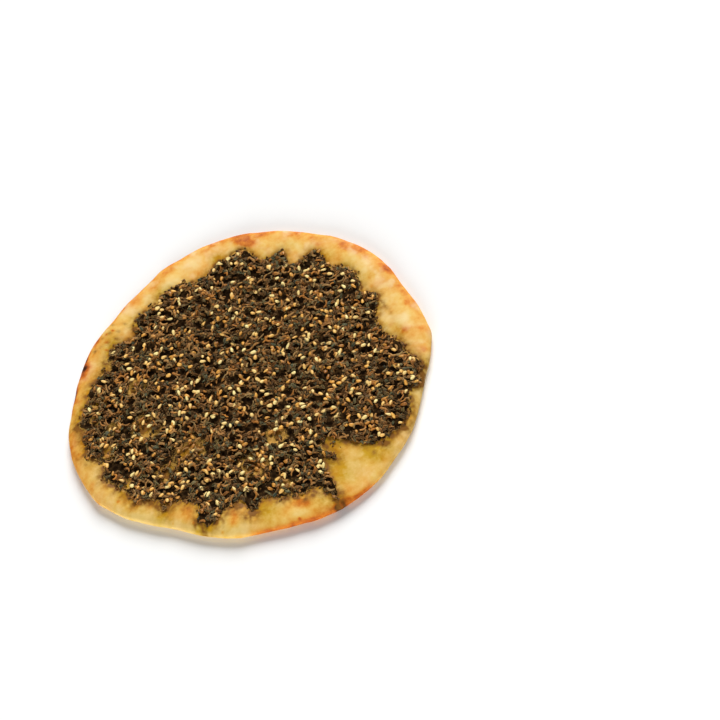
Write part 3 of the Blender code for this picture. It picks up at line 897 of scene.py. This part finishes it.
def make_paste(settings):
    """The paste: rings out over its top, round a ragged rolled edge, and back in, sunk in the crust.

    A ring at a share s of the way out has the radius s (R + (edge - R) s^2). The level of the top is
    1 - 1.4 d^2 of the distance to the nearest grain's middle, with grit, and falls in the holes."""
    bearing = np.arange(PASTE_COLUMNS) * 360 / PASTE_COLUMNS
    edge = ragged_edge(bearing)
    share = np.linspace(0, 1, PASTE_ROWS + 1)[1:, None]
    middle = BREAD_RADIUS - SPREAD_INSET
    radius = share * (middle + (edge - middle) * share * share)
    x, y = flat(bearing, radius)
    thin = worn_share(x, y, edge - radius, settings)
    hole = (1 - smooth(hole_distance(x, y) / HOLE_RADIUS)) * (1 - thin)
    grains = np.clip(1 - GRAIN_FALL * cell_distance(x, y, *GRAINS) ** 2, 0, 1)
    level = GRAIN_LEVEL * grains + GRIT_LEVEL * lattice_noise(x, y, *GRIT)
    level = level * (1 - hole) - HOLE_LEVEL * hole
    lumps = settings.lump_height * layered_noise(x, y, *LUMPS)
    rise = settings.grain_height * level * (1 - WORN_GRAIN_LOSS * thin) + lumps
    roll = ROLL_START + (1 - ROLL_START) * smooth((edge - radius) / ROLL)
    crust = crust_height(bearing, bread_edge(bearing) - radius)
    height = crust + (paste_height(bearing, radius) - settings.sink + rise - crust) * roll
    buried = np.linspace(1, 0, PASTE_UNDER_ROWS + 1)[:-1, None]
    under_radius = buried * (middle + (edge - middle) * buried * buried)
    under_height = crust_height(bearing, bread_edge(bearing) - under_radius) - settings.buried
    top, under = polar(bearing, radius, height), polar(bearing, under_radius, under_height)
    poles = [top[0].mean(axis=0), under[-1].mean(axis=0)]
    points = np.concatenate([top.reshape(-1, 3), under.reshape(-1, 3), poles])
    hidden = np.zeros(under.shape[0] * under.shape[1] + 2)
    # The level also colours the paste, darkest in its low places and holes as painted shade.
    values = {"level": np.append(level, hidden), "thin": np.append(thin, hidden)}
    quads, caps = closed_faces(len(top) + len(under), PASTE_COLUMNS)
    piece = build_piece("herb_paste", points, quads, caps, paste_material(settings), values)
    seat(piece, "zaatar_topping")


# Scattered pieces.

def bend(along, above, turn):
    """A flat strip rolled on to an arc: distance along it and height above it become two coordinates.

    With a turn of k for each unit: (sin(ks)/k - h sin(ks), (1 - cos(ks))/k + h cos(ks))."""
    bent = turn * along
    first = along * np.sinc(bent / np.pi) - above * np.sin(bent)
    second = along * np.sinc(bent / tau) * np.sin(bent / 2) + above * np.cos(bent)
    return first, second


def ring_template(rows, columns):
    """Shares along a small piece, its poles last, and the turn round it at each point."""
    along = np.repeat(np.linspace(-1, 1, rows + 2)[1:-1], columns)
    turn = np.tile(np.arange(columns) * tau / columns, rows)
    return np.append(along, (-1, 1)), np.append(turn, (0, 0))


def half_sizes(chance, count, sizes):
    """Random half-lengths, half-widths and half-thicknesses within ranges of the whole sizes."""
    return [chance.uniform(low, high, (count, 1)) / 2 for low, high in sizes]


def balls(u, turn, half_length, half_width, half_depth, girth):
    """Rings round a straight middle line, W g cos(t) wide and T g sin(t) thick at a girth of g."""
    return np.stack(np.broadcast_arrays(
        half_length * u, half_width * girth * np.cos(turn), half_depth * girth * np.sin(turn)), axis=-1)


def leaf_shapes(chance, count):
    """Leaves as lenses, widest in the middle and pointed at both ends, rolled across and arched along.

    Across: W (1 - u^2)^0.6 cos(t); thickness: T (1 - u^2)^0.5 sin(t). Most open upwards."""
    u, turn = ring_template(*LEAF.grid)
    half_length, half_width, half_depth = half_sizes(chance, count, LEAF.sizes)
    across = half_width * (1 - u ** 2) ** 0.6 * np.cos(turn)
    depth = half_depth * (1 - u ** 2) ** 0.5 * np.sin(turn)
    side, rise = bend(across, depth, chance.uniform(*LEAF_CURL, (count, 1)) / half_width)
    lean = chance.uniform(-0.35, 0.35, (count, 1)) * half_width * np.sin(2.2 * u)
    flip = np.where(chance.uniform(0, 1, (count, 1)) < CUPPED_SHARE, 1.0, -1.0)
    ahead, lift = bend(half_length * u, rise * flip, chance.uniform(*LEAF_ARCH, (count, 1)) / half_length)
    # The rim value: on a cupped leaf its raised edges, partly their paler colour and partly painted
    # highlight; on a leaf turned over, the ridge along its middle, as painted highlight.
    rim = np.where(np.abs(u) == 1, 1.0, np.abs(np.cos(turn)))
    rim = np.where(flip > 0, rim, 0.8 * np.abs(np.sin(turn)))
    return np.stack([ahead, (side + lean) * flip, lift], axis=-1), rim.ravel()


def curl_shapes(chance, count):
    """Curls: thin rolled leaves and stems as round rods, arched into a hook or C: width (1 - u^4)^0.5."""
    u, turn = ring_template(*CURL.grid)
    half_length, half_width, half_depth = half_sizes(chance, count, CURL.sizes)
    taper = (1 - u ** 4) ** 0.5
    bow = chance.uniform(*CURL_ARCH, (count, 1)) / half_length
    ahead, side = bend(half_length * u, half_width * taper * np.cos(turn), bow)
    wave = 0.3 * half_width * np.sin(2 * u + chance.uniform(0, tau, (count, 1)))
    # Painted light: the upper side of a curl takes the rim colour, the underside little of it.
    rim = np.where(np.sin(turn) > -0.5, 1.0, 0.2)
    return np.stack([ahead, side, half_depth * taper * np.sin(turn) + wave], axis=-1), np.tile(rim, count)


def seed_shapes(chance, count):
    """Sesame: a flattened egg, pinched to a point at one end: width (1 - u^2.2)^0.5 (1 - 0.32 u)."""
    u, turn = ring_template(*SEED.grid)
    girth = (1 - np.abs(u) ** 2.2) ** 0.5 * (1 - 0.32 * u)
    # The rim value marks the pointed end and, as painted shade, the sides where the seed turns down.
    rim = np.maximum(smooth((u - 0.3) / 0.7), 0.9 * np.abs(np.cos(turn)) ** 2 * (np.abs(u) < 1))
    return balls(u, turn, *half_sizes(chance, count, SEED.sizes), girth), np.tile(rim, count)


def crumb_shapes(chance, count):
    """Crumbs: small uneven balls, each of their points pushed in or out."""
    u, turn = ring_template(*CRUMB.grid)
    sizes = half_sizes(chance, count, CRUMB.sizes)
    girth = (1 - u ** 2) ** 0.5 * chance.uniform(0.7, 1.2, (count, len(u)))
    return balls(u, turn, *sizes, girth), np.full(count * len(u), 0.5)


def turned(shapes, azimuth, pitch, roll):
    """Shapes turned about their length by roll, tipped by pitch, then turned to an azimuth."""
    x, y, z = shapes[..., 0], shapes[..., 1], shapes[..., 2]
    y, z = y * np.cos(roll) - z * np.sin(roll), y * np.sin(roll) + z * np.cos(roll)
    x, z = x * np.cos(pitch) + z * np.sin(pitch), z * np.cos(pitch) - x * np.sin(pitch)
    x, y = x * np.cos(azimuth) - y * np.sin(azimuth), x * np.sin(azimuth) + y * np.cos(azimuth)
    return np.stack([x, y, z], axis=-1)


def spread_places(chance, count, kind):
    """Random places on the paste: bearing and radius, fewer where it is thin, none within reach of a hole.

    They are held back from the edge, give or take a play, and a share of them follows the edge itself."""
    tries = count * TRIES
    bearing = chance.uniform(0, 360, tries)
    radius = SCATTER_RADIUS * np.sqrt(chance.uniform(0, 1, tries))
    edge = ragged_edge(bearing)
    at_edge = chance.uniform(0, 1, tries) < kind.edge_share
    radius = np.where(at_edge, edge + chance.normal(*EDGE_LINE, tries), radius)
    x, y = flat(bearing, radius)
    wanted = (radius < edge - kind.hold + kind.play * chance.normal(0, 1, tries)) | at_edge
    wanted &= radius < bread_edge(bearing) - LEAST_MARGIN
    wanted &= hole_distance(x, y) > kind.hole_reach
    wanted &= chance.uniform(0, 1, tries) > kind.thin_share * thinness(x, y, widen=1.45)
    chosen = np.flatnonzero(wanted)[:count]
    return bearing[chosen], radius[chosen]


def layer_height(bearing, radius, share):
    """Height at a share of the herb layer: 0 on the crust, 1 at the solid's top, less past the edge."""
    share = share * (LAYER_EDGE + (1 - LAYER_EDGE) * smooth((ragged_edge(bearing) - radius) / LAYER_SLOPE))
    within = np.minimum(radius, spread_edge(bearing))
    thickness = paste_height(bearing, within) - crust_height(bearing, bread_edge(bearing) - within)
    return crust_height(bearing, bread_edge(bearing) - radius) + share * thickness


def make_scatter(name, seed, count, shapes_of, kind, layer, material):
    """One piece of many small closed shapes, each laid round its nearest hole at a share of the herb layer.

    It departs from that direction by the kind's swing and is tipped by its tilt, both at random.
    Its tint is a random share to the power of the spareness, changed by broad patches and made
    darker where it lies deep, as painted shade."""
    chance = np.random.default_rng(seed)
    forms, rim = shapes_of(chance, count)
    bearing, radius = spread_places(chance, count, kind)
    count = len(bearing)
    share = chance.uniform(*layer, count)
    pitch, roll = chance.normal(0, radians(kind.tilt), (2, count, 1))
    ground = polar(bearing, radius, layer_height(bearing, radius, share))
    swing = radians(kind.swing) * chance.normal(0, 1, (count, 1))
    azimuth = ring_direction(ground[:, :1], ground[:, 1:2]) + swing
    points = turned(forms[:count], azimuth, pitch, roll) + ground[:, None, :]
    quads, caps = closed_faces(*kind.grid)
    each = points.shape[1]
    starts = np.arange(count)[:, None, None] * each
    quads, caps = (quads + starts).reshape(-1, 4), (caps + starts).reshape(-1, 3)
    patchy = TINT_PATCHINESS * lattice_noise(ground[:, 0], ground[:, 1], *TINT_PATCHES)
    # Painted shade: pieces low in the herb layer are tinted darker.
    depth = SHADE_BY_DEPTH * (share - sum(layer) / 2) / (layer[1] - layer[0])
    tint = np.clip(chance.uniform(0, 1, count) ** kind.spareness + patchy + depth, 0, 1)
    hue = chance.uniform(0, 1, count)
    values = {"tint": np.repeat(tint, each), "hue": np.repeat(hue, each), "rim": rim[:count * each]}
    piece = build_piece(name, points.reshape(-1, 3), quads, caps, material, values)
    seat(piece)


def herb_material(settings, piece, tone, roughness=0.55):
    """The leaf material in one tone's three colours."""
    tones = (getattr(settings, f"{tone}_{part}") for part in ("deep", "middle", "rim"))
    return leaf_material(f"{piece}_surface", *tones, roughness)


def make_herbs(settings):
    """The herb layer: three colours of leaf, curls and stems, and crumbs between them."""
    for seed, tone in ((101, "dark"), (102, "brown"), (103, "olive")):
        name, count = f"leaves_{tone}", getattr(settings, f"{tone}_count")
        material = herb_material(settings, name, tone)
        make_scatter(name, seed, count, leaf_shapes, LEAF, (0.3, 0.95), material)
    material = herb_material(settings, "curls", "curl", roughness=0.5)
    make_scatter("curls", 104, settings.curl_count, curl_shapes, CURL, (0.6, 1.2), material)
    material = herb_material(settings, "crumbs", "brown")
    make_scatter("herb_crumbs", 105, settings.crumb_count, crumb_shapes, CRUMB, (0.15, 0.8), material)


def make_sesame(settings):
    """Sesame seeds, pale and toasted, lying on the herbs."""
    for seed, tone, layer in ((201, "pale", (0.75, 1.3)), (202, "toasted", (0.6, 1.15))):
        count, dull, bright = (getattr(settings, f"{tone}_{part}") for part in ("count", "dull", "bright"))
        material = seed_material(f"sesame_{tone}_surface", dull, bright, settings.tip_and_side_shade)
        make_scatter(f"sesame_{tone}", seed, count, seed_shapes, SEED, layer, material)


# Stage.

def photo_camera(settings):
    """The camera: looks from the front and above, rolled, with its target off the picture's middle."""
    elevation = settings.elevation
    focal = settings.lens / settings.sensor * PICTURE
    back = Vector((0, -cos(elevation), sin(elevation)))
    right = Vector((1, 0, 0))
    turn = Matrix((right, back.cross(right), back)).transposed() @ Matrix.Rotation(-settings.roll, 3, "Z")
    aim = Vector((settings.aim[0] - PICTURE / 2, PICTURE / 2 - settings.aim[1], -focal)).normalized()
    swing = Vector((0, 0, -1)).rotation_difference(aim).to_matrix()
    matrix = (turn @ swing.transposed()).to_4x4()
    matrix.translation = Vector(settings.target) + back * settings.distance
    camera_data = bpy.data.cameras.new("photo_camera")
    camera_data.lens = settings.lens
    camera_data.sensor_width = settings.sensor
    camera_data.clip_start = 0.05
    camera = bpy.data.objects.new("photo_camera", camera_data)
    camera.matrix_world = matrix
    bpy.context.scene.collection.objects.link(camera)
    bpy.context.scene.camera = camera
    return matrix


def soft_light(name, strength, softness, direction):
    """A distant light of one strength everywhere, as wide in the sky as its softness, from a direction."""
    data = bpy.data.lights.new(name, "SUN")
    data.energy = strength
    data.angle = softness
    light = bpy.data.objects.new(name, data)
    light.matrix_world = Matrix.LocRotScale(direction, (-direction).to_track_quat("-Z", "Y"), None)
    bpy.context.scene.collection.objects.link(light)


def make_floor(settings):
    """A pale square floor just below the bread."""
    half = settings.floor_size / 2
    mesh = bpy.data.meshes.new("floor")
    corners = [(x * half, y * half, -settings.floor_gap) for x, y in ((-1, -1), (1, -1), (1, 1), (-1, 1))]
    mesh.from_pydata(corners, [], [(0, 1, 2, 3)])
    material, _, shader = new_material("floor_surface")
    shader.inputs["Base Color"].default_value = settings.floor_colour
    shader.inputs["Roughness"].default_value = 0.8
    shader.inputs["Specular IOR Level"].default_value = 0.1
    mesh.materials.append(material)
    floor = bpy.data.objects.new("floor", mesh)
    bpy.context.scene.collection.objects.link(floor)


def make_surround(strength):
    """A surround that lights with one strength and that the camera sees as plain white."""
    world = bpy.data.worlds.new("surround")
    world.use_nodes = True
    nodes, links = world.node_tree.nodes, world.node_tree.links
    lighting, seen = nodes["Background"], nodes.new("ShaderNodeBackground")
    for background in (lighting, seen):
        background.inputs["Color"].default_value = (1, 1, 1, 1)
    lighting.inputs["Strength"].default_value = strength
    either = nodes.new("ShaderNodeMixShader")
    links.new(nodes.new("ShaderNodeLightPath").outputs["Is Camera Ray"], either.inputs["Fac"])
    links.new(lighting.outputs["Background"], either.inputs[1])
    links.new(seen.outputs["Background"], either.inputs[2])
    links.new(either.outputs["Shader"], nodes["World Output"].inputs["Surface"])
    bpy.context.scene.world = world


def make_stage(settings):
    """The floor, the camera, a key light from the picture's upper side, a low fill light and the surround."""
    make_floor(settings)
    upward = photo_camera(settings).col[1].xyz
    upward.z = 0
    upward.normalize()
    for name, side in (("key", 1), ("fill", -1)):
        height, strength, softness = (
            getattr(settings, f"{name}_{part}") for part in ("height", "strength", "softness"))
        direction = side * cos(height) * upward + Vector((0, 0, sin(height)))
        soft_light(f"{name}_light", strength, softness, direction)
    make_surround(settings.surround)
    bpy.context.scene.view_settings.view_transform = "Standard"


# Add-on: settings, steps and panel.

class DoughSettings(bpy.types.PropertyGroup):
    """Relief and bake of the bread."""
    puff_height: length("Puffs", "How far the broad puffs of the rim swing", 0.0005)
    wrinkle_height: length("Wrinkles", "How far the small wrinkles of the crust swing", 0.00005)
    under_relief: length("Underside relief", "Depth of the hollows under the bread", 0.00035)
    top_bake: number("Top bake", "Mean bake of the crust's top", 0.27)
    most_bake: number("Most bake", "Bake that only burnt spots pass", 0.66)
    mottle: number("Mottle", "Swing of the bake from place to place", 0.15)
    fine_mottle: number("Fine mottle", "Swing of the bake within a few millimetres", 0.07)
    side_bake: number("Side bake", "Bake added down the side", -0.02)
    under_bake: number("Underside bake", "Mean bake of the underside", 0.45)
    oil_reach: length("Oil reach", "How far the oil has soaked out of the paste", 0.0078)
    oil_veil: number("Oil veil", "Oil all over the side that took most of it", 0.25)
    stain_reach: length("Stain reach", "How far the herbs stain the dough", 0.002)
    rosiness: number("Rosiness", "Strength of the rosy patches", 0.32)
    dusting: number("Dusting", "Strength of the chalky patches of flour", 0.45)
    pale: colour("Pale", "Dough that hardly browned", 236, 205, 134)
    cream: colour("Cream", "Lightly baked dough", 234, 192, 106)
    gold: colour("Gold", "Golden crust", 230, 168, 76)
    orange: colour("Orange", "Toasted crust", 220, 134, 48)
    rust: colour("Rust", "Well toasted spots", 192, 99, 38)
    brown: colour("Brown", "Dark spots", 108, 56, 28)
    char: colour("Char", "Burnt edge", 62, 33, 21)
    rosy: colour("Rosy", "What rosy patches leave of the dough's colour", 255, 232, 255)
    dust: colour("Dust", "Chalky patches of flour", 248, 230, 190)
    oil: colour("Oil", "What soaked oil leaves of the dough's colour", 208, 194, 84)
    stain: colour("Stain", "Dough stained by herbs", 128, 84, 31)


class PasteSettings(bpy.types.PropertyGroup):
    """Form and colours of the herb paste."""
    sink: length("Sink", "How far the paste lies below the herb layer's top", 0.0013)
    buried: length("Buried", "How far the paste reaches into the dough", 0.0003)
    grain_height: length("Grain", "Height of the grains", 0.0006)
    lump_height: length("Lumps", "Swing of the broad lumps", 0.0003)
    edge_fade: length("Edge fade", "How far in the paste is thinner at its edge", 0.0022)
    # Painted shade: the darkest colour, for the hollows between the grains and the holes.
    hollow_shade: colour("Hollows", "Between the grains", 30, 19, 10)
    dark: colour("Dark", "Most of the paste", 50, 35, 19)
    brown: colour("Brown", "Tops of the grains", 71, 50, 26)
    olive: colour("Olive", "Thin paste soaked in oil", 160, 122, 50)
    golden: colour("Golden", "Thin paste over dough", 204, 156, 80)


class HerbSettings(bpy.types.PropertyGroup):
    """Counts and colours of the herb layer."""
    dark_count: pieces("Dark leaves", "Nearly black leaves", 3300)
    brown_count: pieces("Brown leaves", "Brown leaves", 2300)
    olive_count: pieces("Olive leaves", "Grey-green and olive leaves", 1900)
    curl_count: pieces("Curls", "Curled stems and rolled leaves", 1400)
    crumb_count: pieces("Crumbs", "Herb crumbs", 2400)
    # The leaves' rim colours are partly their edges' paler colour and partly painted highlight on raised
    # edges and ridges.
    dark_deep: colour("Dark leaf", "Darkest leaves", 48, 36, 24)
    dark_middle: colour("Dark leaf, lighter", "Lighter of the dark leaves", 70, 51, 30)
    dark_rim: colour("Dark leaf rim", "Rim of the dark leaves", 150, 114, 72)
    brown_deep: colour("Brown leaf", "Darker brown leaves", 60, 41, 21)
    brown_middle: colour("Brown leaf, lighter", "Lighter brown leaves", 112, 80, 45)
    brown_rim: colour("Brown leaf rim", "Rim of the brown leaves", 196, 148, 92)
    olive_deep: colour("Olive leaf", "Grey-green leaves", 48, 50, 48)
    olive_middle: colour("Olive leaf, lighter", "Olive leaves", 92, 89, 70)
    olive_rim: colour("Olive leaf rim", "Rim of the olive leaves", 158, 144, 96)
    curl_deep: colour("Curl", "Darker curls", 62, 45, 27)
    curl_middle: colour("Curl, lighter", "Lighter curls", 234, 184, 110)
    # Painted light: the colour of a curl's upper side.
    curl_rim: colour("Curl rim", "Upper side of a curl", 178, 132, 80)


class SesameSettings(bpy.types.PropertyGroup):
    """Counts and colours of the sesame."""
    pale_count: pieces("Pale seeds", "Cream and golden seeds", 450)
    toasted_count: pieces("Toasted seeds", "Amber and brown seeds", 340)
    pale_dull: colour("Golden seed", "Duller of the pale seeds", 244, 184, 86)
    pale_bright: colour("Cream seed", "Brightest seeds", 255, 238, 160)
    toasted_dull: colour("Brown seed", "Darkest toasted seeds", 142, 90, 34)
    toasted_bright: colour("Amber seed", "Lighter toasted seeds", 232, 170, 76)
    # The pointed end's darker colour, also painted along the sides as shade.
    tip_and_side_shade: colour("Seed tip", "The pointed end and the sides", 178, 106, 34)


class StageSettings(bpy.types.PropertyGroup):
    """Floor, light and camera."""
    floor_size: length("Floor", "Side of the floor", 40.0)
    floor_gap: length("Floor gap", "From the floor up to the bread, so that no faces coincide", 0.00005)
    floor_colour: colour("Floor colour", "The floor", 244, 244, 243)
    surround: number("Surround", "Strength of the white surround", 0.12)
    key_strength: number("Key strength", "Strength of the key light", 4.4)
    key_softness: angle("Key softness", "Width of the key light in the sky", 38)
    key_height: angle("Key height", "Elevation of the key light", 34)
    fill_strength: number("Fill strength", "Strength of the fill light", 3.6)
    fill_softness: angle("Fill softness", "Width of the fill light in the sky", 40)
    fill_height: angle("Fill height", "Elevation of the fill light", 12)
    lens: number("Lens", "Focal length in millimetres", 80.0)
    sensor: number("Sensor", "Sensor width in millimetres", 36.0)
    elevation: angle("Elevation", "Camera above the horizon", 52)
    roll: angle("Roll", "Tilt of the picture, as the bread leans in it", 26.4)
    distance: length("Distance", "From the target to the camera", 0.88)
    aim: FloatVectorProperty(
        name="Aim", description="Where the target is seen, in pixels from the left and top", size=2,
        default=(251.8, 387.7))
    target: FloatVectorProperty(
        name="Target", description="What the camera's aim looks at", size=3, unit="LENGTH",
        default=(MIDDLE[0] - 0.0009, MIDDLE[1] - 0.0103, 0.007))


class ManakishSettings(bpy.types.PropertyGroup):
    """All settings of the manakish."""
    dough: PointerProperty(type=DoughSettings)
    paste: PointerProperty(type=PasteSettings)
    herbs: PointerProperty(type=HerbSettings)
    sesame: PointerProperty(type=SesameSettings)
    stage: PointerProperty(type=StageSettings)


class MANAKISH_OT_dough(bpy.types.Operator):
    """Adds the baked dough with its toasted rim."""
    bl_idname = "manakish.dough"
    bl_label = "Dough"

    def execute(self, context):
        make_bread(context.scene.manakish.dough)
        return {"FINISHED"}


class MANAKISH_OT_paste(bpy.types.Operator):
    """Adds the oiled herb paste."""
    bl_idname = "manakish.paste"
    bl_label = "Herb paste"

    def execute(self, context):
        make_paste(context.scene.manakish.paste)
        return {"FINISHED"}


class MANAKISH_OT_herbs(bpy.types.Operator):
    """Adds the leaves, curls and crumbs."""
    bl_idname = "manakish.herbs"
    bl_label = "Herbs"

    def execute(self, context):
        make_herbs(context.scene.manakish.herbs)
        return {"FINISHED"}


class MANAKISH_OT_sesame(bpy.types.Operator):
    """Adds the sesame seeds."""
    bl_idname = "manakish.sesame"
    bl_label = "Sesame"

    def execute(self, context):
        make_sesame(context.scene.manakish.sesame)
        return {"FINISHED"}


class MANAKISH_OT_stage(bpy.types.Operator):
    """Adds the floor, the light and the camera."""
    bl_idname = "manakish.stage"
    bl_label = "Stage"

    def execute(self, context):
        make_stage(context.scene.manakish.stage)
        return {"FINISHED"}


class VIEW3D_PT_manakish(bpy.types.Panel):
    """Lists the steps that build the manakish."""
    bl_label = "Manakish"
    bl_space_type = "VIEW_3D"
    bl_region_type = "UI"
    bl_category = "Manakish"

    def draw(self, context):
        for step in STEPS:
            self.layout.operator(step.bl_idname)


STEPS = (MANAKISH_OT_dough, MANAKISH_OT_paste, MANAKISH_OT_herbs, MANAKISH_OT_sesame, MANAKISH_OT_stage)
CLASSES = (
    DoughSettings, PasteSettings, HerbSettings, SesameSettings, StageSettings, ManakishSettings, *STEPS,
    VIEW3D_PT_manakish,
)


def register():
    """Registers the classes and gives the scene its settings."""
    for item in CLASSES:
        bpy.utils.register_class(item)
    bpy.types.Scene.manakish = PointerProperty(type=ManakishSettings)


def unregister():
    """Takes the settings and the classes away again."""
    del bpy.types.Scene.manakish
    for item in reversed(CLASSES):
        bpy.utils.unregister_class(item)


def main():
    """Registers the add-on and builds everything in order."""
    register()
    bpy.ops.manakish.dough()
    bpy.ops.manakish.paste()
    bpy.ops.manakish.herbs()
    bpy.ops.manakish.sesame()
    bpy.ops.manakish.stage()


if __name__ == "__main__":
    main()
